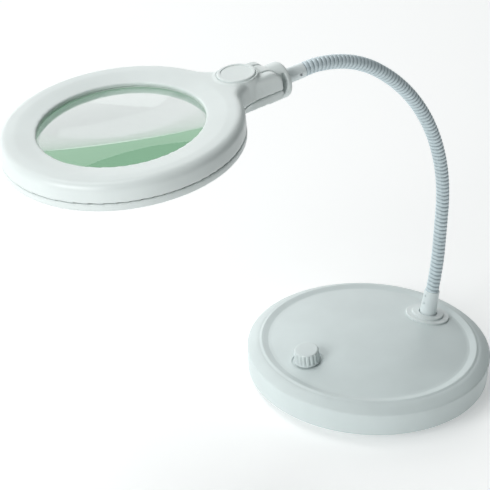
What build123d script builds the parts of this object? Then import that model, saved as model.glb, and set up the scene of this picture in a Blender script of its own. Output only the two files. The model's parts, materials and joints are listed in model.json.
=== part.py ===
"""Magnifying lamp: a round weighted base, a gooseneck and a ring-lit lens head.

Millimetres, +Z up.  The origin is the centre of the base's underside, on the table.
+X is to the right, -Y is the way the head reaches out, and the lamp is symmetric about X = 0.
"""

import os
from math import atan, cos, degrees, radians, sin

from build123d import *

os.makedirs("parts", exist_ok=True)

# ---------------------------------------------------------------- driving dimensions
# base
rim_radius = 105.0  # widest point of the base cover
rim_widest_height = 24.5
rim_lower_edge_height = 17.5
crest_radius = 92.9  # ring where the rim turns down to the domed plate
crest_height = 32.0
groove_outer_radius = 95.8  # a fine V groove just outside the crest
groove_inner_radius = 93.4
groove_depth = 1.0
plate_radius = 87.0
plate_edge_height = 30.8
plate_apex_height = 38.9
cover_wall = 2.5
pan_bottom_radius = 97.0
pan_top_radius = 102.0
pan_wall = 2.5
pan_floor_bottom = 0.8
pan_lip_rise = 3.0  # how far the pan's lip stands up inside the cover
pad_radius = 93.0
pad_thickness = 1.5
weight_radius = 87.0
weight_thickness = 8.0
post_circle_radius = 78.0
post_radius = 4.2
post_count = 4
post_bottom = 6.0  # where the cover's posts stand on the pan
post_pilot_radius = 1.5
post_pilot_depth = 14.0
self_tapper_head_radius = 3.1
self_tapper_length = 16.0
neck_foot_reach = 66.0  # from the base centre to the foot of the neck, and to the knob

# foot of the neck
collar_radius = 19.2
collar_step_radius = 13.9
collar_step_height = 1.8
collar_bore_radius = 8.2
seat_depth = 0.5  # flat seat sunk in the dome under the collar
ferrule_radius = 7.4  # at the foot
ferrule_taper = 1.6  # degrees, narrower upwards
ferrule_length = 24.5
stub_radius = 5.0
stub_length = 12.0
nut_across_flats = 15.0
nut_thickness = 4.0

# electrics in the base
board_width = 46.0
board_depth = 38.0
board_thickness = 1.6
board_bottom = 15.7
board_reach = 72.0  # from the base centre back to the middle of the driver board
board_hole_inset = 4.0
board_hole_end_inset = 5.0
board_pilot_radius = 1.1
inlet_width = 9.0
inlet_depth = 14.0
inlet_height = 11.0
inlet_bottom = 4.5
inlet_face = 99.0  # mouth of the inlet, from the base centre
pot_radius = 8.5
pot_depth = 9.0
bush_radius = 3.5

# gooseneck
neck_radius = 5.75
lead_bore_radius = 3.0
tip_radius = 5.78  # roundness of each link's tip about its hinge
link_gap = 0.3
hinge_count = 7
ferrule_insert = 16.0  # how deep the gooseneck sits in the lower ferrule
foot_run = 30.0
lower_bend_radius = 284.0
upright_run = 33.77
main_bend_radius = 176.0
main_bend_turn = 58.3  # degrees; the crown bend turns the rest of the way to level
crown_bend_radius = 110.5
end_bend_radius = 45.0
end_slope = 8.0  # degrees below level where the neck meets the head joint
end_run = 6.42  # straight gooseneck just before the upper ferrule
upper_ferrule_radius = 5.9
upper_ferrule_length = 18.5
spigot_length = 9.0  # the part of the upper ferrule inside the gooseneck
spigot_bore_radius = 1.9

# head
head_reach = 239.2  # from the base centre forward to the lens centre
head_height = 298.4  # edge of the lens opening
head_slope = 7.1  # degrees, far side lower
opening_radius = 60.3
ring_radius = 88.0
ring_crown = 2.0  # the top of the ring stands this far above the opening's edge
crown_radius = 75.5
ring_bottom = -19.2  # heights in the head are from the opening's edge
shoulder_round = 6.0
bottom_round = 2.5
parting_height = -12.6
shell_wall = 2.2
lens_radius = 63.5
lens_edge = 2.0
lens_curve_radius = 346.0  # three dioptres in crown glass, the same on both sides
lens_edge_height = -4.8
seat_height = -3.4  # underside of the lip that the lens is pressed against
tube_radius = 64.2  # inside of the tube that locates the lens
led_count = 48
led_circle_radius = 74.0
led_post_circle = 79.4
led_post_count = 4
led_pilot_radius = 0.9

# fork and tilt joint
fork_half_width = 15.0
slot_half_width = 7.0
fork_top = -0.3
fork_bottom = -23.6
fork_parting = -16.6
fork_end_reach = 129.6
fork_front_reach = 78.0
fork_end_round = 10.6
boss_radius = 16.2
boss_reach = 98.8
boss_top = 3.0
cap_radius = 14.4
cap_top = 3.9
neck_blend = 26.0  # hollow blend between the ring and the fork, seen from above
tilt_pin_radius = 3.0
tilt_pin_length = 25.0
tongue_half_width = 6.2
knuckle_radius = 14.2
knuckle_rear = 19.6  # from the tilt axis back to the neck side of the knuckle
knuckle_gap = 0.6
relief_radius = 15.6  # room in the knuckle for the square lower corners of the fork's arms
relief_rise = 18.0  # degrees above level that this room goes on, behind the arms
set_screw_radius = 1.2
set_screw_hex = 0.6

# knob
knob_radius = 11.0
knob_bottom = 0.6
knob_top = 12.0
knob_flutes = 18
knob_well_radius = 13.5
knob_well_depth = 1.0
shaft_radius = 3.0
running_gap = 0.05

# ---------------------------------------------------------------- shared places
plate_curve = (plate_apex_height - plate_edge_height) / plate_radius**2
plate_height_at_foot = plate_apex_height - plate_curve * neck_foot_reach**2
plate_lean = degrees(atan(2 * plate_curve * neck_foot_reach))
lean_sin, lean_cos = sin(radians(plate_lean)), cos(radians(plate_lean))

foot_plane = Plane(
    origin=(0, neck_foot_reach, plate_height_at_foot), x_dir=(1, 0, 0), z_dir=(0, lean_sin, lean_cos)
)
knob_plane = Plane(
    origin=(0, -neck_foot_reach, plate_height_at_foot), x_dir=(1, 0, 0), z_dir=(0, -lean_sin, lean_cos)
)
head_plane = Plane(
    origin=(0, -head_reach, head_height),
    x_dir=(1, 0, 0),
    z_dir=(0, -sin(radians(head_slope)), cos(radians(head_slope))),
)


def upright(plane):
    """The plane through a plane's own normal and X: its local Y is the first plane's normal."""
    return Plane(origin=plane.origin, x_dir=plane.x_dir, z_dir=-plane.y_dir)


def axis_of(plane):
    """The axis that stands on a plane at its origin."""
    return Axis(plane.origin, plane.z_dir)


def side_plane(offset=0.0):
    """The head's side view: local X runs from the lens centre to the neck, local Y is the head's up."""
    return Plane(
        origin=head_plane.origin + Vector(offset, 0, 0), x_dir=head_plane.y_dir, z_dir=(1, 0, 0)
    )


pivot_reach = fork_end_reach - fork_end_round
pivot_height = fork_top - fork_end_round
pivot_point = head_plane.from_local_coords(Vector(0, pivot_reach, pivot_height))


def base_posts():
    """The places of the screw posts that join the pan to the cover."""
    return PolarLocations(post_circle_radius, post_count, start_angle=45)


def led_board_posts():
    """The places of the posts that carry the LED board."""
    return PolarLocations(led_post_circle, led_post_count, start_angle=20)


board_holes = [
    (side * (board_width / 2 - board_hole_inset), board_reach + end * (board_depth / 2 - board_hole_end_inset))
    for side in (-1, 1)
    for end in (-1, 1)
]

# ---------------------------------------------------------------- the neck's centre line
# each stretch: length, then bend radius (None where straight), bending forward over the base
neck_stretches = [
    (foot_run, None),
    (lower_bend_radius * radians(plate_lean), lower_bend_radius),
    (upright_run, None),
    (main_bend_radius * radians(main_bend_turn), main_bend_radius),
    (crown_bend_radius * radians(90 - main_bend_turn), crown_bend_radius),
    (end_bend_radius * radians(end_slope), end_bend_radius),
    (end_run, None),
]


def walk(station):
    """The point and direction, as (y, z) pairs, at a distance along the neck from the cover."""
    y, z = neck_foot_reach, plate_height_at_foot
    lean = radians(plate_lean)
    left = station
    for length, bend in neck_stretches:
        step = min(left, length) if left > 0 else left
        if bend is None:
            y, z = y + step * sin(lean), z + step * cos(lean)
        else:
            turned = lean - step / bend
            y += bend * (cos(turned) - cos(lean))
            z += bend * (sin(lean) - sin(turned))
            lean = turned
        left -= step
        if left <= 0:
            break
    return (y, z), (sin(lean), cos(lean))


def neck_plane(station):
    """The plane square across the neck at a station, its normal along the neck."""
    (y, z), (dy, dz) = walk(station)
    return Plane(origin=(0, y, z), x_dir=(1, 0, 0), z_dir=(0, dy, dz))


def draw_neck(start, end):
    """Add the centre line between two stations to the BuildLine in hand, on Plane.YZ."""
    position = 0.0
    for length, bend in neck_stretches:
        first, last = max(start, position), min(end, position + length)
        position += length
        if last - first <= 0:
            continue
        point, direction = walk(first)
        if bend is None:
            Line(point, walk(last)[0])
        else:
            JernArc(point, direction, bend, degrees((last - first) / bend))


neck_bottom = ferrule_length - ferrule_insert
neck_end = sum(length for length, _ in neck_stretches)  # mouth of the upper ferrule
link_length = (neck_end - ferrule_length) / hinge_count
hinge_stations = [ferrule_length + link_length * (n + 0.5) for n in range(hinge_count)]
side_hinges = (1, 4)  # these bend sideways, the others bend forward and back


def hinge_plane(number):
    """A plane on a neck hinge whose normal is the hinge's axis."""
    across = neck_plane(hinge_stations[number])
    normal = across.y_dir if number in side_hinges else across.x_dir
    return Plane(origin=across.origin, x_dir=across.z_dir, z_dir=normal)


neck_mouth = neck_plane(neck_end)
upper_screw_reach = 4.9  # from the mouth of the upper ferrule to its set screw
upper_screw_point = neck_mouth.offset(upper_screw_reach).origin

# ================================================================= base
rim_top_bulge = (rim_radius - 1.6, rim_widest_height + 4.2)

with BuildPart() as base_cover:
    with BuildSketch(Plane.XZ):
        with BuildLine():
            dome = Bezier(
                (0, plate_apex_height), (plate_radius / 2, plate_apex_height), (plate_radius, plate_edge_height)
            )
            band = Line(dome @ 1, (crest_radius, crest_height))
            rim_top = ThreePointArc(
                band @ 1, (crest_radius + 7.0, crest_height - 1.4), rim_top_bulge
            )
            rim_edge = ThreePointArc(
                rim_top @ 1,
                (rim_radius - 0.3, rim_widest_height + 2.2),
                (rim_radius, rim_widest_height),
            )
            side = Line(rim_edge @ 1, (rim_radius - 0.8, rim_lower_edge_height))
            lower = Line(side @ 1, (rim_radius - 0.8 - cover_wall - 1.0, rim_lower_edge_height))
            inside = Line(lower @ 1, (rim_radius - cover_wall - 1.4, rim_widest_height))
            roof = Line(inside @ 1, (crest_radius, crest_height - cover_wall - 0.6))
            under_band = Line(roof @ 1, (plate_radius, plate_edge_height - cover_wall))
            under_dome = Bezier(
                under_band @ 1,
                (plate_radius / 2, plate_apex_height - cover_wall),
                (0, plate_apex_height - cover_wall),
            )
            Line(under_dome @ 1, dome @ 0)
        make_face()
    revolve(axis=Axis.Z)
    # fine groove just outside the crest, steep on the inside and shallow on the outside
    with BuildSketch(Plane.XZ):
        Polygon(
            (groove_inner_radius, crest_height + groove_depth),
            (groove_inner_radius, crest_height),
            (groove_inner_radius + groove_depth, crest_height - groove_depth),
            (groove_outer_radius, crest_height - 0.3 * groove_depth),
            (groove_outer_radius, crest_height + groove_depth),
            align=None,
        )
    revolve(axis=Axis.Z, mode=Mode.SUBTRACT)
    # screw posts under the dome
    with BuildSketch(Plane.XY.offset(post_bottom)):
        with base_posts():
            Circle(post_radius)
    extrude(until=Until.NEXT)
    with BuildSketch(Plane.XY.offset(post_bottom)):
        with base_posts():
            Circle(post_pilot_radius)
    extrude(amount=post_pilot_depth, mode=Mode.SUBTRACT)
    # posts that carry the driver board
    with BuildSketch(Plane.XY.offset(board_bottom + board_thickness + 0.1)):
        with Locations(*board_holes):
            Circle(2.6)
    extrude(until=Until.NEXT)
    with BuildSketch(Plane.XY.offset(board_bottom + board_thickness + 0.1)):
        with Locations(*board_holes):
            Circle(board_pilot_radius)
    extrude(amount=6.0, mode=Mode.SUBTRACT)
    # flat seat and hole for the neck
    with BuildSketch(foot_plane.offset(-seat_depth)):
        Circle(collar_radius + 0.2)
    extrude(amount=3 * seat_depth, mode=Mode.SUBTRACT)
    with BuildSketch(foot_plane.offset(-2 * cover_wall)):
        Circle(stub_radius + 0.1)
    extrude(amount=3 * cover_wall, mode=Mode.SUBTRACT)
    # shallow well and bush hole for the dimmer
    with BuildSketch(knob_plane.offset(-knob_well_depth)):
        Circle(knob_well_radius)
    extrude(amount=3 * knob_well_depth, mode=Mode.SUBTRACT)
    with BuildSketch(knob_plane.offset(-2 * cover_wall)):
        Circle(bush_radius + 0.1)
    extrude(amount=3 * cover_wall, mode=Mode.SUBTRACT)
base_cover.part.label = "base_cover"
export_step(base_cover.part, "parts/base_cover.step")

pan_top_height = rim_lower_edge_height - 0.15
screw_head_top = 3.6
screw_head_height = 1.9
lip_outer = rim_radius - cover_wall - 2.2

with BuildPart() as base_pan:
    with BuildSketch(Plane.XZ):
        with BuildLine():
            Polyline(
                (0, pan_floor_bottom + pad_thickness - 0.8),
                (pad_radius + 0.3, pan_floor_bottom + pad_thickness - 0.8),
                (pad_radius + 0.3, pan_floor_bottom),
                (pan_bottom_radius - 0.8, pan_floor_bottom),
                (pan_bottom_radius, pan_floor_bottom + 0.8),
                (pan_top_radius, pan_top_height),
                (lip_outer, pan_top_height),
                (lip_outer, pan_top_height + pan_lip_rise),
                (lip_outer - pan_wall + 0.5, pan_top_height + pan_lip_rise),
                (lip_outer - pan_wall + 0.5, pan_top_height - 2.0),
                (pan_bottom_radius - pan_wall, pan_floor_bottom + 5.0),
                (pan_bottom_radius - pan_wall - 1.5, pan_floor_bottom + pan_wall + 0.5),
                (0, pan_floor_bottom + pan_wall + 0.5),
                close=True,
            )
        make_face()
    revolve(axis=Axis.Z)
    # raised rings round the screw holes, counterbored from below
    with BuildSketch(Plane.XY.offset(pan_floor_bottom + pan_wall)):
        with base_posts():
            Circle(post_radius + 0.6)
    extrude(amount=post_bottom - pan_floor_bottom - pan_wall)
    with BuildSketch(Plane.XY):
        with base_posts():
            Circle(post_pilot_radius + 0.2)
    extrude(amount=post_bottom + 4.0, mode=Mode.SUBTRACT)
    with BuildSketch(Plane.XY):
        with base_posts():
            Circle(self_tapper_head_radius + 0.3)
    extrude(amount=screw_head_top, mode=Mode.SUBTRACT)
    # opening for the low-voltage inlet in the rear wall
    with BuildSketch(Plane.XZ.offset(-pan_bottom_radius + 10)):
        with Locations((0, inlet_bottom + inlet_height / 2)):
            Rectangle(inlet_width + 0.4, inlet_height + 0.4)
    extrude(amount=-20.0, mode=Mode.SUBTRACT)
base_pan.part.label = "base_pan"
export_step(base_pan.part, "parts/base_pan.step")

with BuildPart() as base_pad:
    with BuildSketch(Plane.XY):
        Circle(pad_radius)
    extrude(amount=pad_thickness)
base_pad.part.label = "base_pad"
export_step(base_pad.part, "parts/base_pad.step")

weight_bottom = pan_floor_bottom + pan_wall + 0.5

with BuildPart() as base_weight:
    with BuildSketch(Plane.XY.offset(weight_bottom)):
        Circle(weight_radius)
        with base_posts():
            Circle(post_radius + 1.6, mode=Mode.SUBTRACT)
        with Locations((0, weight_radius)):
            Rectangle(inlet_width + 6, 12, mode=Mode.SUBTRACT)
    extrude(amount=weight_thickness)
    top_edges = base_weight.edges().filter_by(GeomType.CIRCLE).sort_by(SortBy.RADIUS)[-2:]
    chamfer(top_edges, 0.8)
base_weight.part.label = "base_weight"
export_step(base_weight.part, "parts/base_weight.step")

with BuildPart() as base_screws:
    with BuildSketch(Plane.XY.offset(screw_head_top - screw_head_height)):
        with base_posts():
            Circle(self_tapper_head_radius)
    extrude(amount=screw_head_height)
    with BuildSketch(Plane.XY.offset(screw_head_top - screw_head_height)):
        with base_posts():
            Circle(post_pilot_radius)
    extrude(amount=self_tapper_length)
    with BuildSketch(Plane.XY.offset(screw_head_top - screw_head_height)):
        with base_posts():
            Rectangle(3.6, 0.7)
            Rectangle(0.7, 3.6)
    extrude(amount=1.0, mode=Mode.SUBTRACT)
base_screws.part.label = "base_screws"
export_step(base_screws.part, "parts/base_screws.step")

# ---------------------------------------------------------------- electrics in the base
with BuildPart() as driver_board:
    with BuildSketch(Plane.XY.offset(board_bottom)):
        with Locations((0, board_reach)):
            Rectangle(board_width, board_depth)
        with Locations(*board_holes):
            Circle(board_pilot_radius + 0.2, mode=Mode.SUBTRACT)
    extrude(amount=board_thickness)
    # coil, chip and capacitor on the upper side
    with BuildSketch(Plane.XY.offset(board_bottom + board_thickness)):
        with Locations((-10, board_reach - 10)):
            RectangleRounded(7, 7, 1)
        with Locations((0, board_reach + 12)):
            Rectangle(5, 4)
    extrude(amount=3.0)
    with BuildSketch(Plane.XY.offset(board_bottom + board_thickness)):
        with Locations((11, board_reach - 10)):
            Circle(3.0)
    extrude(amount=4.5)
driver_board.part.label = "driver_board"
export_step(driver_board.part, "parts/driver_board.step")

with BuildPart() as board_screws:
    with BuildSketch(Plane.XY.offset(board_bottom - 1.4)):
        with Locations(*board_holes):
            Circle(2.1)
    extrude(amount=1.4)
    with BuildSketch(Plane.XY.offset(board_bottom)):
        with Locations(*board_holes):
            Circle(board_pilot_radius)
    extrude(amount=6.0)
board_screws.part.label = "board_screws"
export_step(board_screws.part, "parts/board_screws.step")

with BuildPart() as power_inlet:
    with BuildSketch(Plane.XY.offset(inlet_bottom)):
        with Locations((0, inlet_face - inlet_depth / 2)):
            Rectangle(inlet_width, inlet_depth)
    extrude(amount=inlet_height)
    fillet(power_inlet.edges().filter_by(Axis.Y), 0.8)
    with BuildSketch(Plane.XZ.offset(-inlet_face)):
        with Locations((0, inlet_bottom + inlet_height / 2)):
            Circle(3.0)
    extrude(amount=10.0, mode=Mode.SUBTRACT)
    with BuildSketch(Plane.XZ.offset(-inlet_face + 10.0)):
        with Locations((0, inlet_bottom + inlet_height / 2)):
            Circle(1.0)
    extrude(amount=-8.5)
power_inlet.part.label = "power_inlet"
export_step(power_inlet.part, "parts/power_inlet.step")

# ---------------------------------------------------------------- dimmer
well_floor = -knob_well_depth
cover_inside = -cover_wall - 0.6  # under the dome, along the knob's axis

with BuildPart() as dimmer_pot:
    with BuildSketch(knob_plane.offset(cover_inside - pot_depth)):
        Circle(pot_radius)
    extrude(amount=pot_depth)
    with BuildSketch(knob_plane.offset(cover_inside)):
        Circle(bush_radius)
    extrude(amount=6.4)
    with BuildSketch(knob_plane.offset(cover_inside - pot_depth + 1.0)):
        Circle(shaft_radius + running_gap)
    extrude(amount=20.0, mode=Mode.SUBTRACT)
    # solder tags
    with BuildSketch(knob_plane.offset(cover_inside - 3.0)):
        with Locations((0, -pot_radius - 1)):
            with GridLocations(5.0, 0, 3, 1):
                Rectangle(1.2, 9.0)
    extrude(amount=0.8)
dimmer_pot.part.label = "dimmer_pot"
export_step(dimmer_pot.part, "parts/dimmer_pot.step")

with BuildPart() as dimmer_nut:
    with BuildSketch(knob_plane.offset(well_floor)):
        RegularPolygon(5.0, 6, major_radius=False)
        Circle(bush_radius, mode=Mode.SUBTRACT)
    extrude(amount=2.0)
dimmer_nut.part.label = "dimmer_nut"
export_step(dimmer_nut.part, "parts/dimmer_nut.step")

shaft_bottom = cover_inside - pot_depth + 1.3
shaft_top = knob_top - 2.5
shaft_flat = 1.5  # the flat's distance from the shaft's axis
flat_bottom = 5.0

with BuildPart() as dimmer_shaft:
    with BuildSketch(knob_plane.offset(shaft_bottom)):
        Circle(shaft_radius)
    extrude(amount=shaft_top - shaft_bottom)
    with BuildSketch(knob_plane.offset(flat_bottom)):
        with Locations((0, shaft_flat + 2.0)):
            Rectangle(8, 4)
    extrude(amount=shaft_top, mode=Mode.SUBTRACT)
dimmer_shaft.part.label = "dimmer_shaft"
export_step(dimmer_shaft.part, "parts/dimmer_shaft.step")

with BuildPart() as dimmer_knob:
    with BuildSketch(upright(knob_plane)):
        with BuildLine():
            Polyline(
                (0, knob_bottom),
                (knob_radius + 0.4, knob_bottom),
                (knob_radius + 0.4, knob_bottom + 1.6),
                (knob_radius, knob_bottom + 2.2),
                (knob_radius - 0.4, knob_top - 1.5),
                (knob_radius - 2.0, knob_top),
                (0, knob_top),
                close=True,
            )
        make_face()
    revolve(axis=axis_of(knob_plane))
    # finger grooves round the side
    with BuildSketch(knob_plane.offset(knob_bottom + 2.4)):
        with PolarLocations(knob_radius + 0.5, knob_flutes):
            Circle(1.1)
    extrude(amount=knob_top, mode=Mode.SUBTRACT)
    # hollow underside with a hub for the shaft
    with BuildSketch(knob_plane.offset(knob_bottom)):
        Circle(knob_radius - 2.2)
    extrude(amount=4.0, mode=Mode.SUBTRACT)
    with BuildSketch(knob_plane.offset(knob_bottom)):
        Circle(shaft_radius)
    extrude(amount=shaft_top - knob_bottom, mode=Mode.SUBTRACT)
    with BuildSketch(knob_plane.offset(flat_bottom)):
        with Locations((0, shaft_flat + 2.0)):
            Rectangle(4.8, 4)
    extrude(amount=shaft_top - flat_bottom)
dimmer_knob.part.label = "dimmer_knob"
export_step(dimmer_knob.part, "parts/dimmer_knob.step")

# ================================================================= foot of the neck
with BuildPart() as foot_collar:
    with BuildSketch(upright(foot_plane)):
        with BuildLine():
            Polyline(
                (collar_bore_radius, -seat_depth),
                (collar_radius, -seat_depth),
                (collar_radius, collar_step_height - seat_depth - 0.5),
                (collar_radius - 0.5, collar_step_height - seat_depth),
                (collar_step_radius + 0.3, collar_step_height - seat_depth),
                (collar_step_radius, collar_step_height - seat_depth + 0.3),
                (collar_step_radius, 2 * collar_step_height - seat_depth - 0.5),
                (collar_step_radius - 0.5, 2 * collar_step_height - seat_depth),
                (collar_bore_radius, 2 * collar_step_height - seat_depth),
                close=True,
            )
        make_face()
    revolve(axis=axis_of(foot_plane))
foot_collar.part.label = "foot_collar"
export_step(foot_collar.part, "parts/foot_collar.step")

lower_screw_stations = (neck_bottom + 4.0, neck_bottom + 11.5)


def front_plane(station):
    """The plane along the neck at a station whose normal looks forward."""
    across = neck_plane(station)
    return Plane(origin=across.origin, x_dir=across.x_dir, z_dir=-across.y_dir)


with BuildPart() as lower_ferrule:
    with BuildSketch(foot_plane.offset(-seat_depth)):
        Circle(ferrule_radius)
    extrude(amount=ferrule_length + seat_depth, taper=ferrule_taper)
    fillet(lower_ferrule.faces().sort_by(axis_of(foot_plane))[-1].edges(), 0.4)
    with BuildSketch(foot_plane.offset(-stub_length)):
        Circle(stub_radius)
    extrude(amount=stub_length)
    with BuildSketch(foot_plane.offset(neck_bottom - 0.2)):
        Circle(neck_radius + 0.1)
    extrude(amount=ferrule_length, mode=Mode.SUBTRACT)
    with BuildSketch(foot_plane.offset(-stub_length)):
        Circle(lead_bore_radius)
    extrude(amount=2 * stub_length, mode=Mode.SUBTRACT)
    # threaded holes for two set screws, looking forward
    for station in lower_screw_stations:
        with BuildSketch(front_plane(station)):
            Circle(set_screw_radius + running_gap)
        extrude(amount=2 * ferrule_radius, mode=Mode.SUBTRACT)
lower_ferrule.part.label = "lower_ferrule"
export_step(lower_ferrule.part, "parts/lower_ferrule.step")

with BuildPart() as lower_set_screws:
    for station in lower_screw_stations:
        with BuildSketch(front_plane(station).offset(neck_radius + 0.12)):
            Circle(set_screw_radius)
            RegularPolygon(set_screw_hex, 6, mode=Mode.SUBTRACT)
        extrude(amount=0.7)
lower_set_screws.part.label = "lower_set_screws"
export_step(lower_set_screws.part, "parts/lower_set_screws.step")

washer_top = -cover_wall - 0.8
foot_washer_thickness = 1.0

with BuildPart() as foot_washer:
    with BuildSketch(foot_plane.offset(washer_top - foot_washer_thickness)):
        Circle(9.5)
        Circle(stub_radius + 0.2, mode=Mode.SUBTRACT)
    extrude(amount=foot_washer_thickness)
foot_washer.part.label = "foot_washer"
export_step(foot_washer.part, "parts/foot_washer.step")

with BuildPart() as foot_nut:
    with BuildSketch(foot_plane.offset(washer_top - foot_washer_thickness - nut_thickness)):
        RegularPolygon(nut_across_flats / 2, 6, major_radius=False)
        Circle(stub_radius, mode=Mode.SUBTRACT)
    extrude(amount=nut_thickness)
foot_nut.part.label = "foot_nut"
export_step(foot_nut.part, "parts/foot_nut.step")

# ================================================================= gooseneck
# A run of short links.  Each link's top is rounded about the hinge there, and the next
# link's foot is hollowed to clear it.
link_starts = [neck_bottom] + hinge_stations
link_ends = hinge_stations + [neck_end]

for number, (start, end) in enumerate(zip(link_starts, link_ends)):
    has_tip = number < hinge_count
    with BuildPart() as link:
        with BuildLine(Plane.YZ) as centre_line:
            draw_neck(start, end)
        with BuildSketch(neck_plane(start)):
            Circle(neck_radius)
            Circle(lead_bore_radius, mode=Mode.SUBTRACT)
        sweep(path=centre_line.line)
        if number > 0:
            with BuildSketch(hinge_plane(number - 1)):
                Circle(tip_radius + link_gap)
            extrude(amount=2 * neck_radius, both=True, mode=Mode.SUBTRACT)
    if has_tip:
        with BuildPart() as tip:
            with BuildSketch(neck_plane(end)):
                Circle(neck_radius)
                Circle(lead_bore_radius, mode=Mode.SUBTRACT)
            extrude(amount=2 * neck_radius)
            with BuildSketch(hinge_plane(number)):
                Circle(tip_radius)
            extrude(amount=2 * neck_radius, both=True, mode=Mode.INTERSECT)
        with link:
            add(tip.part)
    link.part.label = f"neck_link_{number}"
    export_step(link.part, f"parts/neck_link_{number}.step")

with BuildPart() as upper_ferrule:
    with BuildSketch(neck_mouth):
        Circle(upper_ferrule_radius)
    extrude(amount=upper_ferrule_length)
    with BuildSketch(neck_mouth):
        Circle(lead_bore_radius - running_gap)
    extrude(amount=-spigot_length)
    with BuildSketch(neck_mouth.offset(-spigot_length)):
        Circle(spigot_bore_radius)
    extrude(amount=2 * upper_ferrule_length, mode=Mode.SUBTRACT)
    with BuildSketch(Plane.YZ):
        with Locations((upper_screw_point.Y, upper_screw_point.Z)):
            Circle(set_screw_radius + running_gap)
    extrude(amount=2 * ferrule_radius, mode=Mode.SUBTRACT)
upper_ferrule.part.label = "upper_ferrule"
export_step(upper_ferrule.part, "parts/upper_ferrule.step")

with BuildPart() as upper_set_screw:
    with BuildSketch(Plane.YZ.offset(spigot_bore_radius + 0.3)):
        with Locations((upper_screw_point.Y, upper_screw_point.Z)):
            Circle(set_screw_radius)
            RegularPolygon(set_screw_hex, 6, mode=Mode.SUBTRACT)
    extrude(amount=2.9)
upper_set_screw.part.label = "upper_set_screw"
export_step(upper_set_screw.part, "parts/upper_set_screw.step")

# ================================================================= tilt joint
# The knuckle is a round collar on the end of the neck.  Its tongue carries the tilt pin between
# the fork's arms, and it is hollowed round the pin to let the arms' ends turn.
knuckle_front = Plane(
    origin=neck_mouth.offset(upper_ferrule_length + knuckle_rear).origin,
    x_dir=(1, 0, 0),
    z_dir=-neck_mouth.z_dir,
)
tongue_plane = Plane(origin=pivot_point, x_dir=-neck_mouth.z_dir, z_dir=(1, 0, 0))

with BuildPart() as knuckle:
    with BuildSketch(knuckle_front):
        Circle(knuckle_radius)
    extrude(amount=knuckle_rear)
    fillet(knuckle.edges().filter_by(GeomType.CIRCLE).sort_by(axis_of(knuckle_front))[-1], 2.4)
    fillet(knuckle.edges().filter_by(GeomType.CIRCLE).sort_by(axis_of(knuckle_front))[0], 1.5)
    # hollows for the fork's arms: close above the pin, deeper below it
    for side in (-1, 1):
        with BuildSketch(tongue_plane.offset(side * tongue_half_width)):
            Circle(fork_end_round + knuckle_gap)
            with BuildLine():
                low_arc = CenterArc((0, 0), relief_radius, 180, 180 + relief_rise)
                Line(low_arc @ 0, low_arc @ 1)
            make_face()
            with Locations((-20, -5)):
                Rectangle(40, 50, mode=Mode.ADD)
        extrude(amount=side * 2 * knuckle_radius, mode=Mode.SUBTRACT)
    # tongue round the tilt pin
    with BuildSketch(tongue_plane.offset(-tongue_half_width)):
        Circle(fork_end_round)
        with Locations((relief_radius / 2, -1.5)):
            Rectangle(relief_radius, 2 * fork_end_round - 3)
    extrude(amount=2 * tongue_half_width)
    with BuildSketch(tongue_plane):
        Circle(tilt_pin_radius + running_gap)
    extrude(amount=2 * tongue_half_width, both=True, mode=Mode.SUBTRACT)
    # way through for the lead
    with BuildSketch(neck_mouth.offset(upper_ferrule_length - 1.0)):
        Circle(spigot_bore_radius)
    extrude(amount=knuckle_rear / 2, mode=Mode.SUBTRACT)
knuckle.part.label = "knuckle"
export_step(knuckle.part, "parts/knuckle.step")

with BuildPart() as tilt_pin:
    with BuildSketch(tongue_plane.offset(-tilt_pin_length / 2)):
        Circle(tilt_pin_radius)
    extrude(amount=tilt_pin_length)
    chamfer(tilt_pin.edges().filter_by(GeomType.CIRCLE), 0.4)
tilt_pin.part.label = "tilt_pin"
export_step(tilt_pin.part, "parts/tilt_pin.step")

washer_thickness = slot_half_width - tongue_half_width - 0.2

with BuildPart() as friction_washers:
    for side in (-1, 1):
        with BuildSketch(tongue_plane.offset(side * (tongue_half_width + 0.1))):
            Circle(7.0)
            Circle(tilt_pin_radius + 0.1, mode=Mode.SUBTRACT)
        extrude(amount=side * washer_thickness)
friction_washers.part.label = "friction_washers"
export_step(friction_washers.part, "parts/friction_washers.step")

# ================================================================= head
head_axis = axis_of(head_plane)
head_side = side_plane()

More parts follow.
